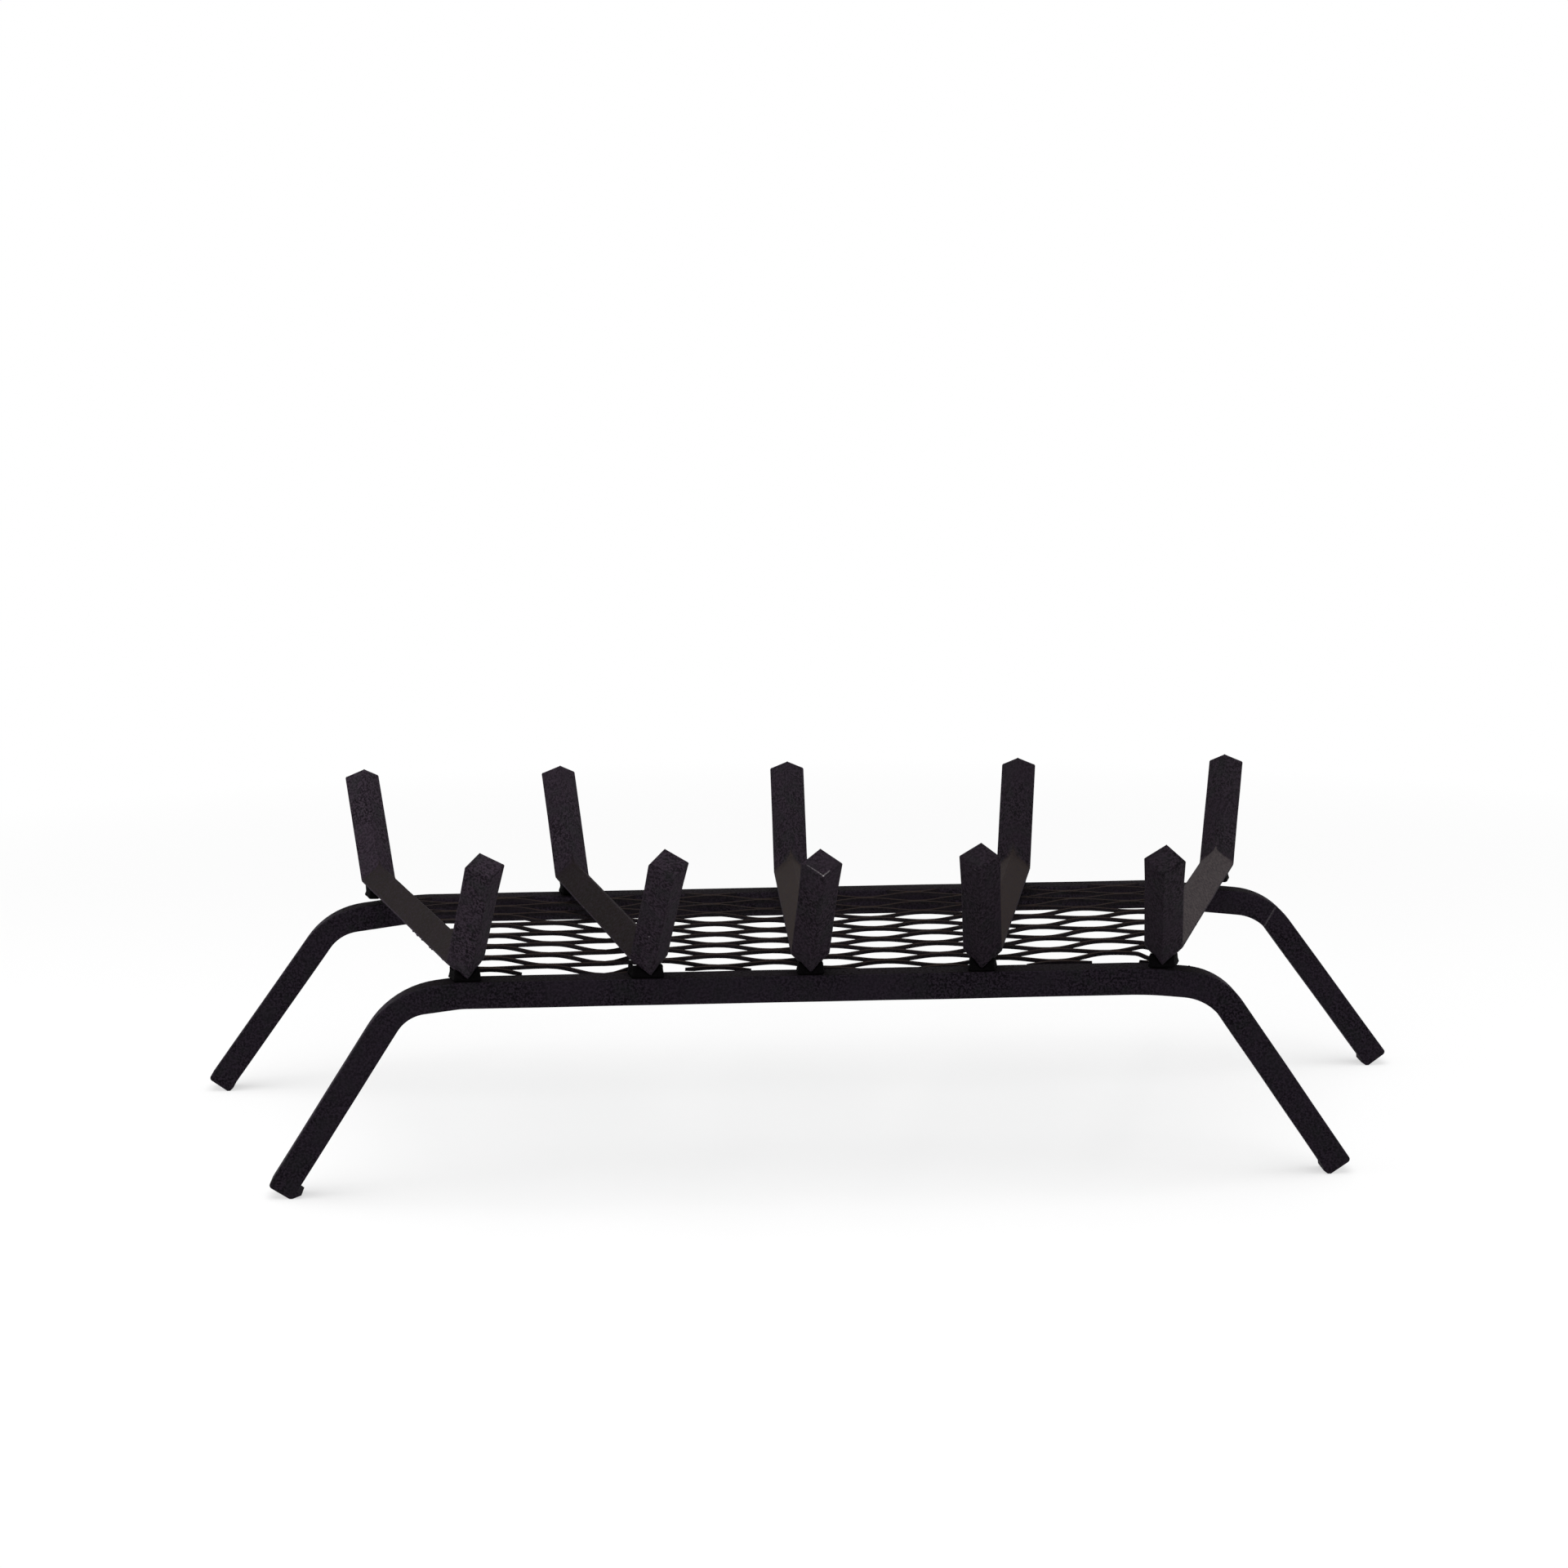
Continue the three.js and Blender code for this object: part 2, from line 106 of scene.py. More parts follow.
# ---------------------------------------------------------------- sizes: welds

WELDS = [f"{rail}_weld_{i}" for rail in ("front", "rear") for i in range(1, 6)]
TACKS = [f"mesh_tack_{i}_{j}" for i in range(1, 6) for j in (1, 2)]

WELD_GRAIN = 0.42 * MM  # face size of the filler's skin
WELD_SMOOTHINGS = 3
WELD_GROWTH = 0.36 * MM  # fuses the filler with the bars on both sides of it
WELD_RIPPLE = 0.16 * MM
RIPPLE_PITCH = 1.7 * MM
LUMP = 0.24 * MM
LUMP_LENGTH = 2.6 * MM
LUMP_SHIFT = 3  # sets each weld's lumps apart from the next one's
WELD_DROP = 0.4 * MM  # how far filler may reach below its node
WELD_RUNS = {"front_weld_2": (-1, 2.4 * MM)}  # filler that ran out: to which side, and how far
RUN_FADE = 6 * MM  # distance from the weld's middle over which the run comes in

SPATTER_SEED = 41
SPATTER_COUNT = 6  # tries at each weld
SPATTER_REACH = (9, 24)  # mm to the left or right of the weld's middle
SPATTER_SIZE = (0.2, 0.45)  # radius in mm
SPATTER_LIFT = 3 * MM  # height above the weld's foot that a bead falls from
SPATTER_FALL = 12 * MM  # furthest that it falls
SPATTER_SQUASH = 0.8
SPATTER_SEEN = [  # share of the picture's width and height, and radius in mm
    (0.7625, 0.5896, 0.6), (0.7583, 0.6163, 0.6), (0.8204, 0.6098, 0.6), (0.6359, 0.6078, 0.45),
]

# ---------------------------------------------------------------- sizes: ember mesh

SHEET_LONG = 53 * MM  # the expanded sheet's diamonds, as the CAD has them
SHEET_SHORT = 22.2 * MM
SHEET_STRAND = 1.9 * MM
SHEET_BOND = 8 * MM
SHEET_TIP = 1.2 * MM
SHEET_SWELL = 0.8  # power that shapes a diamond's sides
SHEET_FIRST = Vector((-127, -76.465, 0)) * MM  # middle of one diamond
SHEET_COLUMNS = range(-2, 8)  # diamonds counted from that one, before the trim
SHEET_ROWS = range(-1, 8)
SHEET_THICK = 1.6 * MM
STRAND_STEPS = 13
STRAND_ROWS = 3
STRAND_EDGE = 0.28 * MM
STRAND_CORNER = radians(50)  # edges sharper than this are rounded
TILE_MERGE = 0.005 * MM
SHEET_MERGE = 0.01 * MM
TRIM_TOUCH = 0.001 * MM
SHEET_END = 0.1 * MM  # corners this close to the front or rear side are on it
DENT = 0.22 * MM
DENT_LENGTH = 21 * MM

# How far the sheet lies above or below flat, in mm, at distances along X in mm: near the front
# rail, and from the middle on. It is sprung up beside the outer bars and bar 2, and sags elsewhere.
SHEET_BOWS = [
    (-153, 2.3, 2.6), (-127, 0.5, 0.65), (-100, -1.7, -1.1), (-87, 0.0, -0.3), (-74, 1.9, 1.6),
    (-47, 1.1, 1.05), (-21, 0.25, 0.0), (5, -0.5, -0.2), (32, -0.5, -0.2), (58, -0.5, 0.1),
    (85, 0.2, 0.6), (111, 0.5, 1.65), (138, 1.6, 2.7), (164, 2.4, 3.0),
]
BOW_FRONT = -60 * MM
BOW_MIDDLE = 0
BOW_BEFORE = -0.3  # how far the change from front to middle is carried on towards the front rail
BOW_REAR = 25 * MM  # the bows flatten out from here to the rear rail
REAR_SHARE = 0.35
BOW_FADE = 8 * MM  # the sheet's side edges come back under the outer bars over this width

# ---------------------------------------------------------------- finishes: black paint, painted shade and painted reflections

# Noises: scale, detail and roughness.
GRAIN = (1250, 2.0, 0.6)
PITS = (800, 2.0, 0.5)
BLOTCHES = (130, 2.0, 0.5)
PATCHES = (34, 3.0, 0.6)
RUB_NOISE = (260, 3.0, 0.6)
MARK_NOISE = (1500, 2.0, 0.6)

# Spreads: the values of a noise or slope at both ends, and what they become, if not 0 and 1.
GRAIN_SPREAD = (0.88, 1.12)
BLOTCH_SPREAD = (0.47, 0.64, 0.0, 0.4)
PATCH_SPREAD = (0.4, 0.66, 0.0, 0.55)
SHEEN_SPREAD = (0.3, 0.7, 0.6, 0.78)
TOP_SPREAD = (0.43, 0.57, 0.4, 1.0)
RUB_LEAN = (0.99, 0.9)
RUB_SPREAD = (0.5, 0.68)
MARK_SPREAD = (0.4, 0.58, 0.25, 1.0)
TOP_SLOPE = (0.45, 0.7)
RAIL_TOP_SLOPE = (0.8, 0.95)  # keeps the dark tops off the frames' bends

PAINT_IOR = 1.5
PAINT_SPECULAR = 0.025
PAINT_DEPTH = 0.12 * MM
PAINT_BUMP = 0.5
WELD_BUMP = 0.8
PATCH_LIGHTER = 1.45
TOP_ROUGHNESS = 0.95
TOP_FADE = 5 * MM
RUN_TOP_LIMIT = 125 * MM  # the bars' upturned ends above this have no tops of their own
RUB_RADIUS = 0.5 * MM
RUB_SAMPLES = 6
RUB_SHARE = 0.35
BARE_ROUGHNESS = 0.35
MARK_CORE = 0.35  # share of a mark's radius that is fully bare
SHORTEST = 1e-12  # stands in for the squared length of a mark that is a spot

# Colours are linear. The dark one is down in the grain, and the light one on top of it.
GREEN_GREY = (0.9, 1.0, 1.0)  # hue only
RUBBED = (0.03, 0.027, 0.03)
BARE_STEEL = (0.5, 0.47, 0.48)
FRAME_DARK = (0.0028, 0.002, 0.0032)
FRAME_LIGHT = (0.0185, 0.0138, 0.0202)
# Painted shade: the frames' upper faces are darkened for the shadow of the logs on the grate.
RAIL_TOP_SHADE = (0.0042, 0.0031, 0.0034)
BAR_DARK = (0.0036, 0.0025, 0.0038)
BAR_LIGHT = (0.0245, 0.0178, 0.025)
# Painted light: each bar's paint is scaled by how brightly the light from the left falls on it.
BAR_SIDE_LIGHT = (1.25, 1.1, 1.0, 0.78, 0.8)  # painted light from the left: brightest on bar 1, least on bars 4 and 5
# Painted shade and painted reflection: each run's upper faces are darkened for the logs' shadow and
# tinted brown for the logs they reflect.
RUN_TOP_SHADE_AND_REFLECTION = {  # the runs' upper faces: painted log shade and brown log reflection
    "cross_bar_1": (0.014, 0.0115, 0.0105),
    "cross_bar_2": (0.009, 0.007, 0.0063),
    "cross_bar_3": (0.026, 0.0205, 0.018),
    "cross_bar_4": (0.022, 0.0168, 0.015),
    "cross_bar_5": (0.046, 0.039, 0.0395),
}
# Painted shade: the welds are far darker than the other paint, for the shade under the bars' bends.
WELD_SHADED_DARK = (0.0003, 0.0002, 0.0003)
WELD_SHADED_LIGHT = (0.0018, 0.0014, 0.0018)
MESH_DARK = (0.004, 0.0032, 0.0042)
MESH_LIGHT = (0.0125, 0.0095, 0.0118)
# Painted reflection: the strands' upper faces are tinted brown for the logs that they reflect.
MESH_TOP_REFLECTION = (0.017, 0.0108, 0.0085)

# ---------------------------------------------------------------- finishes: bare marks and a painted highlight

# Radius and strength of each, with its places in shares of the picture's width and height.
NICK = (0.5 * MM, 0.3)
NICK_CORNER = (0.6240, 0.5557)
NICK_ENDS = [(0.6219, 0.5540), (0.6261, 0.5540)]
CHIP = (0.55 * MM, 0.3)
CHIP_PLACE = (0.4139, 0.5974)
# Painted highlight: a light line on the crease across the rear frame's right-hand bend, in bare
# steel's colour.
CREASE_HIGHLIGHT = (0.6 * MM, 0.09)
CREASE_HIGHLIGHT_TOP = (0.8131, 0.5790)
CREASE_HIGHLIGHT_FOOT = (0.8063, 0.5906)

# The worn edges start at the tip's lowest corner. First the share of the edge that isn't worn.
WORN_LEFT = (0.12, 0.34 * MM, 0.34)
WORN_RIGHT = (0.6, 0.34 * MM, 0.42)
WORN_CORNER = (0.6 * MM, 0.8)


# ---------------------------------------------------------------- shader nodes

def node_of(tree, kind, inputs=None, **settings):
    """A new shader node. An input takes a value or the output of another node."""
    made = tree.nodes.new(kind)
    for key, value in settings.items():
        setattr(made, key, value)
    for key, value in (inputs or {}).items():
        if isinstance(value, bpy.types.NodeSocket):
            tree.links.new(value, made.inputs[key])
        else:
            made.inputs[key].default_value = value
    return made


def worked_out(tree, operation, first, second):
    """One step of arithmetic on two numbers."""
    return node_of(tree, "ShaderNodeMath", {0: first, 1: second}, operation=operation).outputs[0]


def spread(tree, value, low, high, to_low=0.0, to_high=1.0):
    """Stretches the values between low and high over the range from to_low to to_high."""
    made = node_of(tree, "ShaderNodeMapRange", {
        "Value": value, "From Min": low, "From Max": high, "To Min": to_low, "To Max": to_high})
    return made.outputs[0]


def speckle(tree, place, scale, detail, rough):
    made = node_of(tree, "ShaderNodeTexNoise", {
        "Vector": place, "Scale": scale, "Detail": detail, "Roughness": rough})
    return made.outputs["Fac"]


def mix_number(tree, share, first, second):
    return node_of(tree, "ShaderNodeMix", {"Factor": share, 2: first, 3: second}).outputs[0]


def mix_colour(tree, share, first, second):
    made = node_of(tree, "ShaderNodeMix", {"Factor": share}, data_type="RGBA")
    for socket, value in zip(("A", "B"), (first, second)):
        target = next(s for s in made.inputs if s.name == socket and s.type == "RGBA")
        if isinstance(value, bpy.types.NodeSocket):
            tree.links.new(value, target)
        else:
            target.default_value = (*value, 1)
    return next(s for s in made.outputs if s.type == "RGBA")


def seen_directly(tree):
    """1 where the eye, a mirror or a glass looks at the surface, and 0 for light that scatters."""
    path = node_of(tree, "ShaderNodeLightPath")
    mirrored = worked_out(
        tree, "MAXIMUM", path.outputs["Is Glossy Ray"], path.outputs["Is Transmission Ray"])
    return worked_out(tree, "MAXIMUM", path.outputs["Is Camera Ray"], mirrored)


# ---------------------------------------------------------------- pieces

def piece_from(body, name):
    """A new object from a bmesh, which is used up."""
    mesh = bpy.data.meshes.new(name)
    body.to_mesh(mesh)
    body.free()
    made = bpy.data.objects.new(name, mesh)
    scene.collection.objects.link(made)
    return made


def add_modifier(piece, kind, **settings):
    modifier = piece.modifiers.new(kind.lower(), kind)
    for key, value in settings.items():
        setattr(modifier, key, value)


def shade_smooth(piece):
    for face in piece.data.polygons:
        face.use_smooth = True


def shade_bar(piece):
    """Smooth shading that leaves the bar's flats flat."""
    shade_smooth(piece)
    add_modifier(piece, "WEIGHTED_NORMAL", keep_sharp=True, weight=FLAT_WEIGHT, mode="FACE_AREA")


def stand_for(piece, node, material):
    """Puts a finished piece in the place of its CAD node."""
    piece.data.materials.clear()
    piece.data.materials.append(material)
    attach(piece, "root")
    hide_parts(node)


def whole(body):
    """All corners, edges and faces of a bmesh."""
    return body.verts[:] + body.edges[:] + body.faces[:]


def merged(node):
    """A bmesh of a CAD node with its corners joined and its flat faces whole."""
    body = bmesh.new()
    body.from_mesh(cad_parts[node].data)
    bmesh.ops.remove_doubles(body, verts=body.verts, dist=CORNER_MERGE)
    bmesh.ops.dissolve_limit(body, angle_limit=FLAT_ANGLE, verts=body.verts, edges=body.edges)
    return body


def surface_of(nodes):
    """A tree of the faces of some CAD nodes, for finding where a ray meets them."""
    joined = bmesh.new()
    for node in nodes:
        joined.from_mesh(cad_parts[node].data)
    tree = BVHTree.FromBMesh(joined)
    joined.free()
    return tree


def seen_at(surface, across, down):
    """The point of a surface seen at a share of the picture's width and height."""
    turn = scene.camera.rotation_euler.to_matrix()
    reach = scene.camera.data.sensor_width / scene.camera.data.lens
    ray = turn @ Vector(((across - 0.5) * reach, (0.5 - down) * reach, -1))
    return surface.ray_cast(CAMERA_PLACE, ray.normalized())[0]


def smooth_share(value):
    """0 to 1 with a slow start and a slow stop."""
    value = min(1, max(0, value))
    return value * value * (3 - 2 * value)


# ---------------------------------------------------------------- camera, light and floor

def add_camera():
    data = bpy.data.cameras.new("camera")
    data.lens = CAMERA_LENS
    data.sensor_width = CAMERA_SENSOR
    camera = bpy.data.objects.new("camera", data)
    camera.location = CAMERA_PLACE
    camera.rotation_euler = [radians(angle) for angle in CAMERA_TURN]
    scene.collection.objects.link(camera)
    scene.camera = camera


def add_softbox(name, place, size, power):
    """A square area light, unseen itself, that faces the middle of the grate."""
    data = bpy.data.lights.new(name, "AREA")
    data.shape = "SQUARE"
    data.size = size
    data.energy = power
    lamp = bpy.data.objects.new(name, data)
    lamp.location = place
    lamp.rotation_euler = (LAMP_TARGET - lamp.location).to_track_quat("-Z", "Y").to_euler()
    lamp.visible_camera = False
    scene.collection.objects.link(lamp)


def add_world():
    """Even light from all round, in front of a white that only shows."""
    world = bpy.data.worlds.new("studio")
    scene.world = world
    world.use_nodes = True
    tree = world.node_tree
    room = tree.nodes["Background"]
    room.inputs["Color"].default_value = WHITE
    room.inputs["Strength"].default_value = ROOM_LIGHT
    white = node_of(tree, "ShaderNodeBackground", {"Color": WHITE, "Strength": 1.0})
    mixed = node_of(tree, "ShaderNodeMixShader", {
        0: seen_directly(tree), 1: room.outputs[0], 2: white.outputs[0]})
    tree.links.new(mixed.outputs[0], tree.nodes["World Output"].inputs["Surface"])


def add_floor():
    """A pale floor that keeps a soft shadow near the feet and turns pure white further out."""
    slab = bmesh.new()
    bmesh.ops.create_grid(slab, x_segments=1, y_segments=1, size=FLOOR_SIZE)
    floor = piece_from(slab, "floor")
    material = bpy.data.materials.new("pale_floor")
    material.use_nodes = True
    tree = material.node_tree
    tree.nodes.remove(tree.nodes["Principled BSDF"])
    matt = node_of(tree, "ShaderNodeBsdfDiffuse", {"Color": FLOOR_COLOUR})
    glow = node_of(tree, "ShaderNodeEmission", {"Color": WHITE, "Strength": 1.0})
    place = node_of(tree, "ShaderNodeTexCoord").outputs["Object"]
    distance = node_of(tree, "ShaderNodeVectorMath", {0: place}, operation="LENGTH").outputs["Value"]
    share = spread(tree, distance, SHADOW_NEAR, SHADOW_FAR, FLOOR_GLOW, 1.0)
    seen = worked_out(tree, "MULTIPLY", share, seen_directly(tree))
    mixed = node_of(tree, "ShaderNodeMixShader", {0: seen, 1: matt.outputs[0], 2: glow.outputs[0]})
    tree.links.new(mixed.outputs[0], tree.nodes["Material Output"].inputs["Surface"])
    floor.data.materials.append(material)


# ---------------------------------------------------------------- black paint, with painted light

def bared_edges(tree, place):
    """1 where an edge is rubbed thin: the rounded normal leans away from the true one."""
    rounded = node_of(
        tree, "ShaderNodeBevel", {"Radius": RUB_RADIUS}, samples=RUB_SAMPLES).outputs[0]
    true = node_of(tree, "ShaderNodeNewGeometry").outputs["Normal"]
    agree = node_of(tree, "ShaderNodeVectorMath", {0: rounded, 1: true}, operation="DOT_PRODUCT")
    lean = spread(tree, agree.outputs["Value"], *RUB_LEAN)
    patchy = spread(tree, speckle(tree, place, *RUB_NOISE), *RUB_SPREAD)
    return worked_out(tree, "MULTIPLY", lean, patchy)


# Where the painted shade and painted reflection go on faces that look up.
def facing_up(tree, place, pits, slope, limit):
    """1, broken up by the pits, on faces that look up, below the height limit if there is one."""
    normal = node_of(tree, "ShaderNodeNewGeometry").outputs["Normal"]
    up = node_of(tree, "ShaderNodeSeparateXYZ", {0: normal}).outputs["Z"]
    facing = worked_out(
        tree, "MULTIPLY", spread(tree, up, *slope), spread(tree, pits, *TOP_SPREAD))
    if limit is None:
        return facing
    height = node_of(tree, "ShaderNodeSeparateXYZ", {0: place}).outputs["Z"]
    return worked_out(tree, "MULTIPLY", facing, spread(tree, height, limit, limit - TOP_FADE))


def near_line(tree, place, start, end, radius):
    """1 on the line from start to end, falling to 0 at a distance of radius."""
    span = end - start
    offset = node_of(tree, "ShaderNodeVectorMath", {0: place, 1: start}, operation="SUBTRACT")
    per_length = span / max(span.length_squared, SHORTEST)
    along = node_of(tree, "ShaderNodeVectorMath", {
        0: offset.outputs[0], 1: per_length}, operation="DOT_PRODUCT")
    share = node_of(tree, "ShaderNodeMath", {
        0: along.outputs["Value"], 1: 1.0}, operation="MULTIPLY", use_clamp=True)
    nearest = node_of(tree, "ShaderNodeVectorMath", {0: span}, operation="SCALE")
    tree.links.new(share.outputs[0], nearest.inputs["Scale"])
    gap = node_of(tree, "ShaderNodeVectorMath", {
        0: offset.outputs[0], 1: nearest.outputs[0]}, operation="DISTANCE")
    return spread(tree, gap.outputs["Value"], radius, radius * MARK_CORE)


def bare_and_highlight_marks(tree, place, marks):
    """Bare steel's colour along the marks: wear, and a painted highlight; broken up by a fine noise.
    """
    lines = [
        worked_out(tree, "MULTIPLY", near_line(tree, place, start, end, radius), strength)
        for start, end, radius, strength in marks]
    bare_and_highlight = lines[0]
    for line in lines[1:]:
        bare_and_highlight = worked_out(tree, "MAXIMUM", bare_and_highlight, line)
    patchy = spread(tree, speckle(tree, place, *MARK_NOISE), *MARK_SPREAD)
    return worked_out(tree, "MULTIPLY", bare_and_highlight, patchy)


def painted_steel(name, dark, light, marks=(), bump=PAINT_BUMP, painted_tops=None, top_limit=None,
                  top_slope=TOP_SLOPE):
    """Thin black paint: grain, violet and green-grey blotches, rubbed edges and bare marks.

    Faces that look up take the colour painted_tops, a painted shade and reflection, below the
    height top_limit if one is given. Each mark is a line (start, end, radius, strength) in bare
    steel's colour: wear, and on the rear frame a painted highlight.
    """
    material = bpy.data.materials.new(name)
    material.use_nodes = True
    tree = material.node_tree
    shader = tree.nodes["Principled BSDF"]
    shader.inputs["IOR"].default_value = PAINT_IOR
    shader.inputs["Specular IOR Level"].default_value = PAINT_SPECULAR

    place = node_of(tree, "ShaderNodeTexCoord").outputs["Object"]
    pits = speckle(tree, place, *PITS)
    patches = speckle(tree, place, *PATCHES)
    grain = worked_out(tree, "ADD", pits, speckle(tree, place, *GRAIN))
    colour = mix_colour(tree, spread(tree, grain, *GRAIN_SPREAD), dark, light)

    middle = [(low + high) / 2 for low, high in zip(dark, light)]
    green_grey = [part * sum(middle) / sum(GREEN_GREY) for part in GREEN_GREY]
    blotches = spread(tree, speckle(tree, place, *BLOTCHES), *BLOTCH_SPREAD)
    colour = mix_colour(tree, blotches, colour, green_grey)
    lighter = [part * PATCH_LIGHTER for part in middle]
    colour = mix_colour(tree, spread(tree, patches, *PATCH_SPREAD), colour, lighter)
    roughness = spread(tree, patches, *SHEEN_SPREAD)

    # Painted shade and painted reflection on the faces that look up.
    if painted_tops is not None:
        facing = facing_up(tree, place, pits, top_slope, top_limit)
        colour = mix_colour(tree, facing, colour, painted_tops)
        roughness = mix_number(tree, facing, roughness, TOP_ROUGHNESS)
    rubbed = worked_out(tree, "MULTIPLY", bared_edges(tree, place), RUB_SHARE)
    colour = mix_colour(tree, rubbed, colour, RUBBED)
    if marks:
        bare_and_highlight = bare_and_highlight_marks(tree, place, marks)
        colour = mix_colour(tree, bare_and_highlight, colour, BARE_STEEL)
        roughness = mix_number(tree, bare_and_highlight, roughness, BARE_ROUGHNESS)
        tree.links.new(bare_and_highlight, shader.inputs["Metallic"])
    tree.links.new(colour, shader.inputs["Base Color"])
    tree.links.new(roughness, shader.inputs["Roughness"])

    relief = node_of(tree, "ShaderNodeBump", {
        "Height": grain, "Strength": bump, "Distance": PAINT_DEPTH})
    tree.links.new(relief.outputs[0], shader.inputs["Normal"])
    return material


# ---------------------------------------------------------------- frames and bars

def cut_rings(body, start, direction, length):
    """Rings of new edges square to a direction, so that the surface between them can waver."""
    for i in range(1, int(length / RING_STEP)):
        bmesh.ops.bisect_plane(
            body, geom=whole(body), dist=RING_TOUCH,
            plane_co=start + direction * (i * RING_STEP), plane_no=direction)


def waver(body, seed):
    """Moves every point a little, more slowly along the bar than the eye would follow."""
    noise.seed_set(seed)
    shift = Vector((seed * WAVER_SHIFT[0], seed * WAVER_SHIFT[1], 0))
    for point in body.verts:
        sway = noise.noise_vector(point.co / WAVER_LENGTH + shift)
        point.co += sway * WAVER


def finish_frames(material):
    """Both frames: their bar wavers, and their feet stay flat on the floor."""
    for seed, node in enumerate(FRAMES, FRAME_SEED):
        low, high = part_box(node)
        body = merged(node)
        cut_rings(body, Vector((low.x, 0, 0)), Vector((1, 0, 0)), high.x - low.x)
        cut_rings(body, Vector((0, 0, 0)), Vector((0, 0, 1)), LEG_RINGS)
        heights = {point: point.co.z for point in body.verts if point.co.z < FOOT_HEIGHT}
        waver(body, seed)
        for point, height in heights.items():
            point.co.z = height
        piece = piece_from(body, f"{node}_bar")
        shade_bar(piece)
        stand_for(piece, node, material)


def cut_end(body, outward):
    """The sheared end that faces most nearly outward."""
    ends = [face for face in body.faces if len(face.verts) > END_CORNERS]
    return max(ends, key=lambda face: face.calc_center_median().dot(outward))


def measure_ends():
    """Middle of both sheared ends of each cross bar, and three corners of the front one."""
    ends = {}
    for node in BARS:
        body = merged(node)
        front = cut_end(body, FRONTWARD)
        corners = [point.co.copy() for point in front.verts]
        ends[node] = {
            "front": front.calc_center_median(),
            "rear": cut_end(body, REARWARD).calc_center_median(),
            "lowest": min(corners, key=lambda corner: corner.z),
            "left": min(corners, key=lambda corner: corner.x),
            "right": max(corners, key=lambda corner: corner.x),
        }
        body.free()
    return ends


def sharpen(body):
    """Draws the middle of each rounded corner out, as on cold-drawn bar."""
    body.normal_update()
    widths = {face: face.calc_area() / max(edge.calc_length() for edge in face.edges)
              for face in body.faces}
    corners = [point for point in body.verts if all(
        widths[face] < THIN_FACE or len(face.verts) > END_CORNERS for face in point.link_faces)]
    for point, out in [(corner, corner.normal.copy()) for corner in corners]:
        point.co += out * SHARPER


def flare(body, face, growth):
    """Widens a cut end evenly, and moves it out by growth."""
    middle, normal = face.calc_center_median(), face.normal.copy()
    for point in body.verts:
        offset = point.co - middle
        depth = offset.dot(normal)
        if abs(depth) < FLARE_DEPTH:
            across = offset - normal * depth
            point.co = middle + normal * (depth + growth) + across * END_FLARE


def dish(body, face):
    """Fills a cut end out to its edge, and sinks it inside the rim that the shear rolled."""
    middle = face.calc_center_median()
    for point in face.verts:
        point.co += (point.co - middle) * END_SPREAD
    bmesh.ops.inset_region(
        body, faces=[face], thickness=END_RIM, depth=-END_DISH, use_even_offset=True)


def finish_bars(materials):
    """The cross bars: sharp corners, sheared ends that are dished, and flared at the front."""
    for seed, (node, material) in enumerate(zip(BARS, materials), BAR_SEED):
        body = merged(node)
        sharpen(body)
        front, rear = bar_ends[node]["front"], bar_ends[node]["rear"]
        along = Vector((rear.x - front.x, rear.y - front.y, 0))
        cut_rings(body, Vector((front.x, front.y, 0)), along.normalized(), along.length)
        front_end = cut_end(body, FRONTWARD)
        flare(body, front_end, TIP_GROWTH.get(node, 0))
        dish(body, front_end)
        dish(body, cut_end(body, REARWARD))
        waver(body, seed)
        piece = piece_from(body, f"{node}_steel")
        shade_bar(piece)
        stand_for(piece, node, material)


# ---------------------------------------------------------------- welds

def skin_of(node):
    """A copy of a node as an even skin of small faces."""
    rough = piece_from(merged(node), f"{node}_rough")
    add_modifier(rough, "REMESH", mode="VOXEL", voxel_size=WELD_GRAIN, adaptivity=0.0)
    skin = bmesh.new()
    skin.from_object(rough, bpy.context.evaluated_depsgraph_get())
    bpy.data.objects.remove(rough)
    return skin


def finish_filler(node, material, sag=False):
    """Weld filler: smoothed, rippled, and grown until it is fused with what it joins.

    The lower end of a tack sags with the sheet that it holds.
    """
    skin = skin_of(node)
    low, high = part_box(node)
    for _ in range(WELD_SMOOTHINGS):
        bmesh.ops.smooth_vert(
            skin, verts=skin.verts, factor=0.5, use_axis_x=True, use_axis_y=True, use_axis_z=True)
    skin.normal_update()
    shift = Vector((low.x, low.y, 0)) * LUMP_SHIFT
    moves = []
    for point in skin.verts:
        ripple = sin(2 * pi * (point.co.y - low.y) / RIPPLE_PITCH) * WELD_RIPPLE
        lump = noise.noise((point.co + shift) / LUMP_LENGTH) * LUMP
        moves.append(point.normal * (WELD_GROWTH + ripple + lump))
    for point, move in zip(skin.verts, moves):
        point.co += move
        if node in WELD_RUNS:
            side, run = WELD_RUNS[node]
            share = smooth_share(side * (point.co.x - (low.x + high.x) / 2) / RUN_FADE)
            point.co.x += side * run * share
        if sag:
            share = min(1, max(0, (high.z - point.co.z) / (high.z - low.z)))
            point.co.z += bow(point.co.x, point.co.y) * share
        else:
            point.co.z = max(point.co.z, low.z - WELD_DROP)
    piece = piece_from(skin, f"{node}_bead")
    shade_smooth(piece)
    stand_for(piece, node, material)


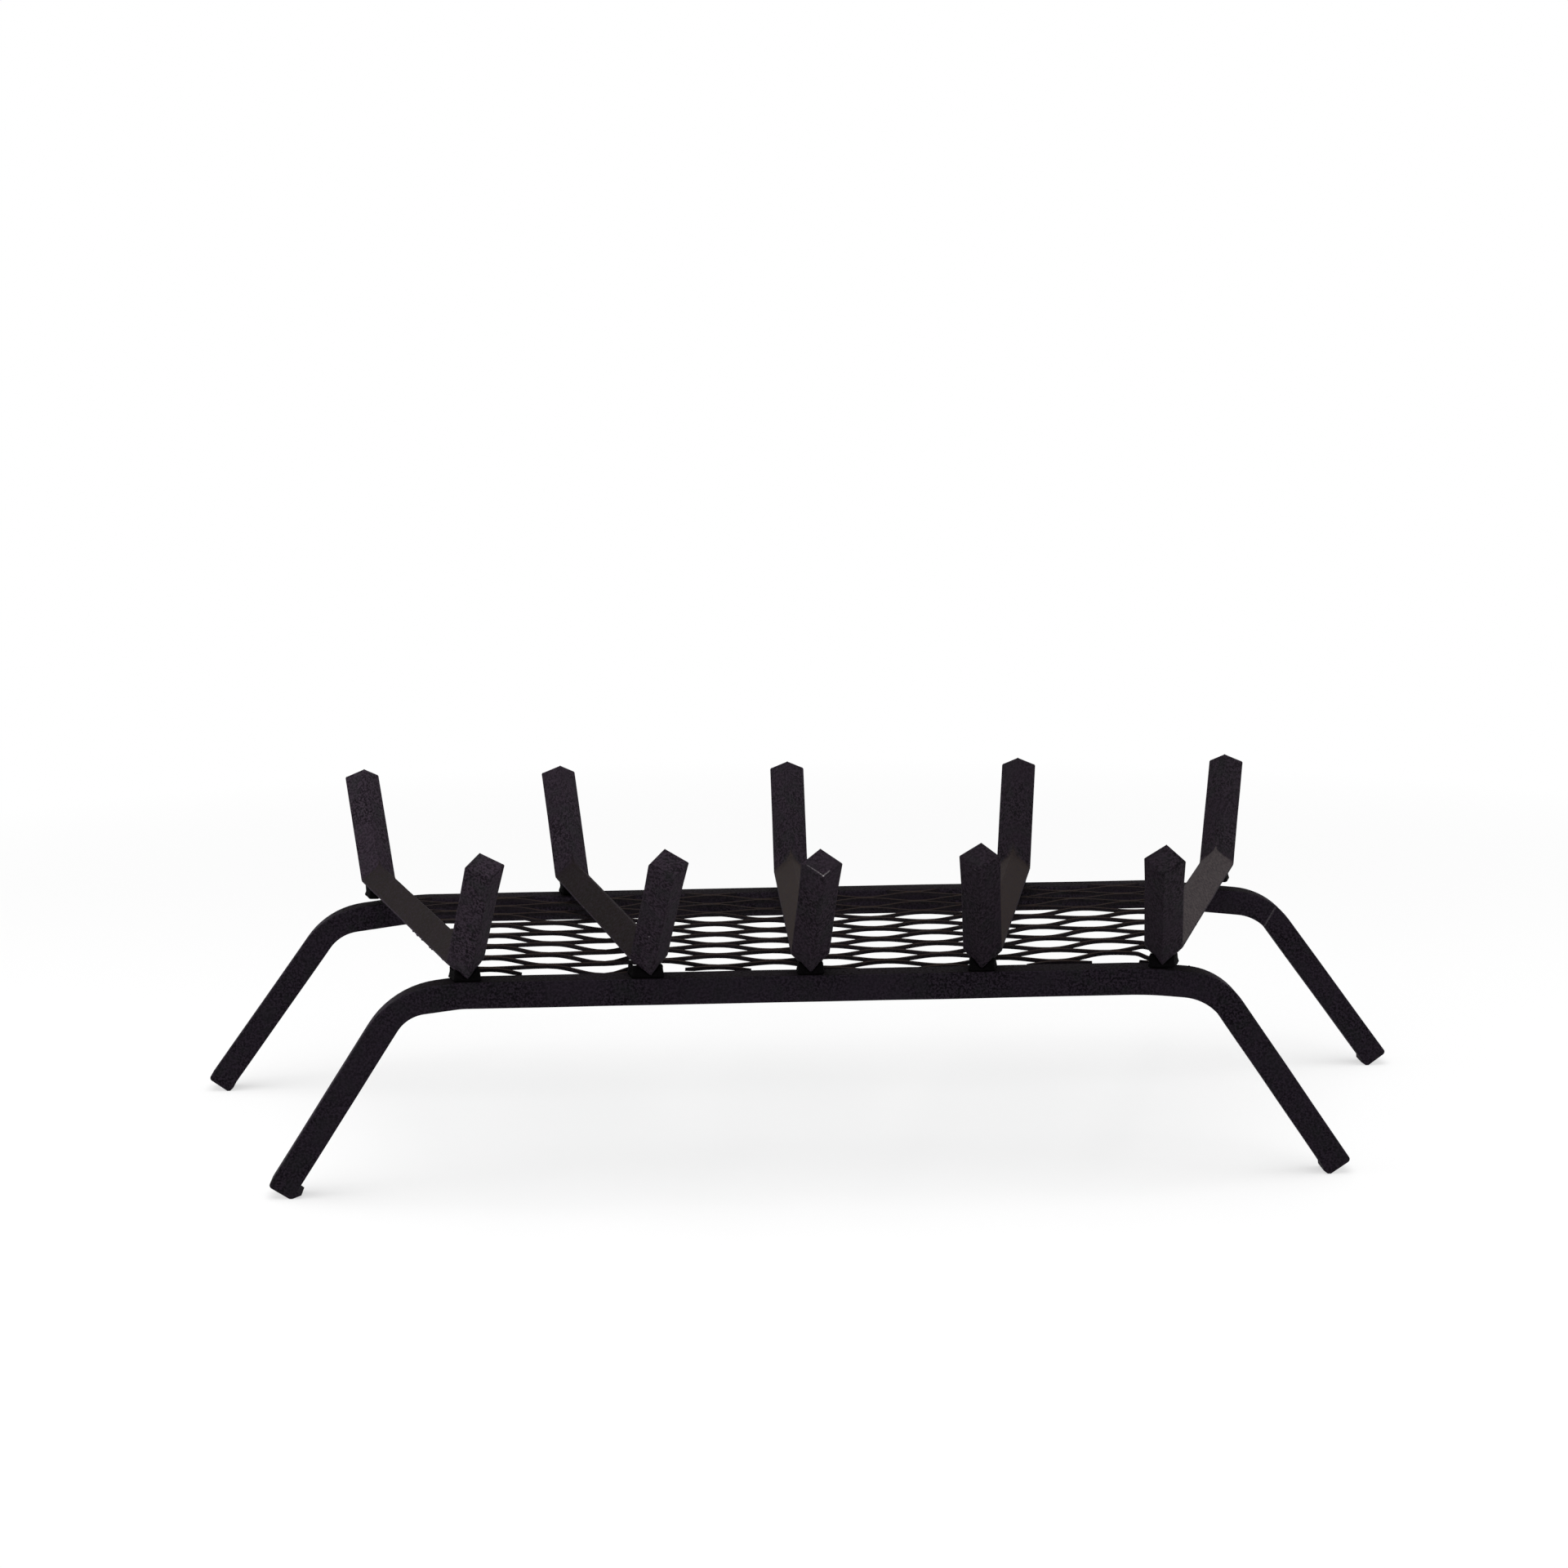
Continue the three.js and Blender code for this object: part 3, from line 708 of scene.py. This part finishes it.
def add_spatter(material):
    """Beads of spatter that stuck to the rails and bars around the welds."""
    draw = random.Random(SPATTER_SEED)
    surface = surface_of(FRAMES + BARS)
    spots = [(seen_at(surface, across, down), size * MM) for across, down, size in SPATTER_SEEN]
    for node in WELDS:
        low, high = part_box(node)
        for _ in range(SPATTER_COUNT):
            reach = draw.uniform(*SPATTER_REACH) * MM * draw.choice((-1, 1))
            above = Vector((
                (low.x + high.x) / 2 + reach, draw.uniform(low.y, high.y), low.z + SPATTER_LIFT))
            place = surface.ray_cast(above, Vector((0, 0, -1)), SPATTER_FALL)[0]
            size = draw.uniform(*SPATTER_SIZE) * MM
            if place is not None:
                spots.append((place, size))
    beads = bmesh.new()
    for place, size in spots:
        squashed = Matrix.Translation(place) @ Matrix.Diagonal((1, 1, SPATTER_SQUASH, 1))
        bmesh.ops.create_icosphere(beads, subdivisions=2, radius=size, matrix=squashed)
    piece = piece_from(beads, "weld_spatter")
    shade_smooth(piece)
    piece.data.materials.append(material)
    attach(piece, "root")


# ---------------------------------------------------------------- ember mesh

def sheet_outline():
    """Box of the CAD sheet, and where its two slanted sides run: (x at the front, x at the rear)."""
    corners = [vertex.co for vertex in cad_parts["ember_mesh"].data.vertices]
    low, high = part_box("ember_mesh")
    sides = []
    for pick in (min, max):
        front = pick(corner.x for corner in corners if corner.y < low.y + SHEET_END)
        rear = pick(corner.x for corner in corners if corner.y > high.y - SHEET_END)
        sides.append((front, rear))
    return low, high, sides


def bow(x, y):
    """Height of the sheet above flat at one place."""
    at = min(max(x / MM, SHEET_BOWS[0][0]), SHEET_BOWS[-1][0])
    nearer, further = next(
        pair for pair in zip(SHEET_BOWS, SHEET_BOWS[1:]) if at <= pair[1][0])
    across = smooth_share((at - nearer[0]) / (further[0] - nearer[0]))
    front, middle = (low + (high - low) * across for low, high in zip(nearer[1:], further[1:]))
    back = min(1, max(BOW_BEFORE, (y - BOW_FRONT) / (BOW_MIDDLE - BOW_FRONT)))
    lift = front + (middle - front) * back
    lift *= 1 - (1 - REAR_SHARE) * smooth_share((y - BOW_REAR) / (sheet_high.y - BOW_REAR))
    share = (y - sheet_low.y) / (sheet_high.y - sheet_low.y)
    left, right = (front + (rear - front) * share for front, rear in sheet_sides)
    inside = min(x - left, right - x)
    return lift * MM * smooth_share(inside / BOW_FADE)


def half_opening(x):
    """Half the height of a diamond at a distance from its middle."""
    longest = SHEET_LONG - SHEET_BOND
    tallest = SHEET_SHORT - 2 * SHEET_STRAND
    if abs(x) > longest / 2:
        return 0.0
    swell = (1 + cos(2 * pi * x / longest)) / 2
    return (SHEET_TIP + (tallest - SHEET_TIP) * swell ** SHEET_SWELL) / 2


def quarter_tile():
    """Metal in one quarter of a diamond's tile: a grid drawn in between two openings."""
    tile = bmesh.new()
    last = STRAND_STEPS + 2
    bmesh.ops.create_grid(tile, x_segments=last, y_segments=STRAND_ROWS, size=0.5)
    half_long, half_short = SHEET_LONG / 2, SHEET_SHORT / 2
    bond = SHEET_BOND / 2
    for point in tile.verts:
        column = round((point.co.x + 0.5) * last)
        row = point.co.y + 0.5
        if column == 0:
            x, below, above = 0.0, half_opening(0), half_short
        elif column == last:
            x, below, above = half_long, 0.0, half_short - half_opening(0)
        else:
            x = bond + (half_long - 2 * bond) * (column - 1) / STRAND_STEPS
            below = half_opening(x) if column <= STRAND_STEPS else 0.0
            above = half_short - half_opening(half_long - x) if column > 1 else half_short
        point.co = Vector((x, below + (above - below) * row, 0))
    return tile


def corners_in(parts):
    return [part for part in parts if isinstance(part, bmesh.types.BMVert)]


def tiled_sheet():
    """The quarter tile mirrored twice, repeated in columns and rows, and joined."""
    sheet = quarter_tile()
    for axis in ("X", "Y"):
        bmesh.ops.mirror(
            sheet, geom=whole(sheet), matrix=Matrix.Identity(4), merge_dist=SHEET_MERGE, axis=axis)
    bmesh.ops.remove_doubles(sheet, verts=sheet.verts, dist=TILE_MERGE)
    tile = whole(sheet)
    for column in SHEET_COLUMNS:
        for row in SHEET_ROWS:
            made = bmesh.ops.duplicate(sheet, geom=tile)["geom"]
            step = SHEET_FIRST + Vector((column * SHEET_LONG, row * SHEET_SHORT, 0))
            bmesh.ops.translate(sheet, verts=corners_in(made), vec=step)
    bmesh.ops.delete(sheet, geom=corners_in(tile))
    bmesh.ops.remove_doubles(sheet, verts=sheet.verts, dist=SHEET_MERGE)
    return sheet


def trim(sheet):
    """Cuts the sheet off at its front and rear and along its slanted sides."""
    (left_front, left_rear), (right_front, right_rear) = sheet_sides
    depth = sheet_high.y - sheet_low.y
    cuts = [
        (Vector((0, sheet_low.y, 0)), Vector((0, -1, 0))),
        (Vector((0, sheet_high.y, 0)), Vector((0, 1, 0))),
        (Vector((left_front, sheet_low.y, 0)), Vector((-depth, left_rear - left_front, 0))),
        (Vector((right_front, sheet_low.y, 0)), Vector((depth, right_front - right_rear, 0))),
    ]
    for place, outward in cuts:
        bmesh.ops.bisect_plane(
            sheet, geom=whole(sheet), dist=TRIM_TOUCH,
            plane_co=place, plane_no=outward.normalized(), clear_outer=True)


def finish_sheet(material):
    """The expanded sheet: bowed, faintly dented, given its thickness and rounded at its edges."""
    sheet = tiled_sheet()
    trim(sheet)
    for point in sheet.verts:
        dent = noise.noise(point.co / DENT_LENGTH) * DENT
        point.co.z = sheet_high.z + bow(point.co.x, point.co.y) + min(dent, 0)
    bmesh.ops.recalc_face_normals(sheet, faces=sheet.faces)
    if sum(face.normal.z for face in sheet.faces) < 0:
        bmesh.ops.reverse_faces(sheet, faces=sheet.faces)
    piece = piece_from(sheet, "ember_mesh_strands")
    add_modifier(piece, "SOLIDIFY", thickness=SHEET_THICK, offset=-1.0)
    add_modifier(
        piece, "BEVEL", width=STRAND_EDGE, segments=2, limit_method="ANGLE",
        angle_limit=STRAND_CORNER)
    stand_for(piece, "ember_mesh", material)


# ---------------------------------------------------------------- bare marks and a painted highlight

def worn_tip(end):
    """Wear along both lower edges of a front end, and on its lowest corner."""
    lowest = end["lowest"]
    left_share, *left_wear = WORN_LEFT
    right_share, *right_wear = WORN_RIGHT
    return [
        (lowest, end["left"].lerp(lowest, left_share), *left_wear),
        (lowest, end["right"].lerp(lowest, right_share), *right_wear),
        (lowest, lowest, *WORN_CORNER),
    ]


def bar_marks(node):
    """Bare marks on one bar: start, end, radius and strength of each."""
    if node == "cross_bar_3":
        return worn_tip(bar_ends[node])
    surface = surface_of([node])
    if node == "cross_bar_4":
        corner = seen_at(surface, *NICK_CORNER)
        return [(corner, seen_at(surface, *end), *NICK) for end in NICK_ENDS]
    if node == "cross_bar_2":
        chip = seen_at(surface, *CHIP_PLACE)
        return [(chip, chip, *CHIP)]
    return []


def frame_marks():
    """A painted highlight on the crease straight across the right-hand bend of the rear frame."""
    rear = surface_of(["rear_frame"])
    return [(seen_at(rear, *CREASE_HIGHLIGHT_TOP), seen_at(rear, *CREASE_HIGHLIGHT_FOOT), *CREASE_HIGHLIGHT)]


# ---------------------------------------------------------------- assembly

bar_ends = measure_ends()
sheet_low, sheet_high, sheet_sides = sheet_outline()

add_camera()
add_world()
add_floor()
for softbox in SOFTBOXES:
    add_softbox(*softbox)

# The frames' paint holds painted shade on the rails' tops and a painted highlight on the rear
# frame's bend.
frame_paint = painted_steel(
    "frame_paint", FRAME_DARK, FRAME_LIGHT, frame_marks(), painted_tops=RAIL_TOP_SHADE, top_slope=RAIL_TOP_SLOPE)
# Each bar's paint holds painted light from the left, and painted shade and reflection on its run's
# tops.
bar_paints = [
    painted_steel(
        f"{node}_paint", [part * side_light for part in BAR_DARK], [part * side_light for part in BAR_LIGHT],
        bar_marks(node), painted_tops=RUN_TOP_SHADE_AND_REFLECTION[node], top_limit=RUN_TOP_LIMIT)
    for node, side_light in zip(BARS, BAR_SIDE_LIGHT)
]
# The welds' paint is darkened with painted shade.
shaded_weld_paint = painted_steel("shaded_weld_paint", WELD_SHADED_DARK, WELD_SHADED_LIGHT, bump=WELD_BUMP)
# The mesh's paint holds a painted reflection on its strands' tops.
mesh_paint = painted_steel("mesh_paint", MESH_DARK, MESH_LIGHT, painted_tops=MESH_TOP_REFLECTION)

finish_frames(frame_paint)
finish_bars(bar_paints)
for weld in WELDS:
    finish_filler(weld, shaded_weld_paint)
for tack in TACKS:
    finish_filler(tack, shaded_weld_paint, sag=True)
add_spatter(shaded_weld_paint)
finish_sheet(mesh_paint)
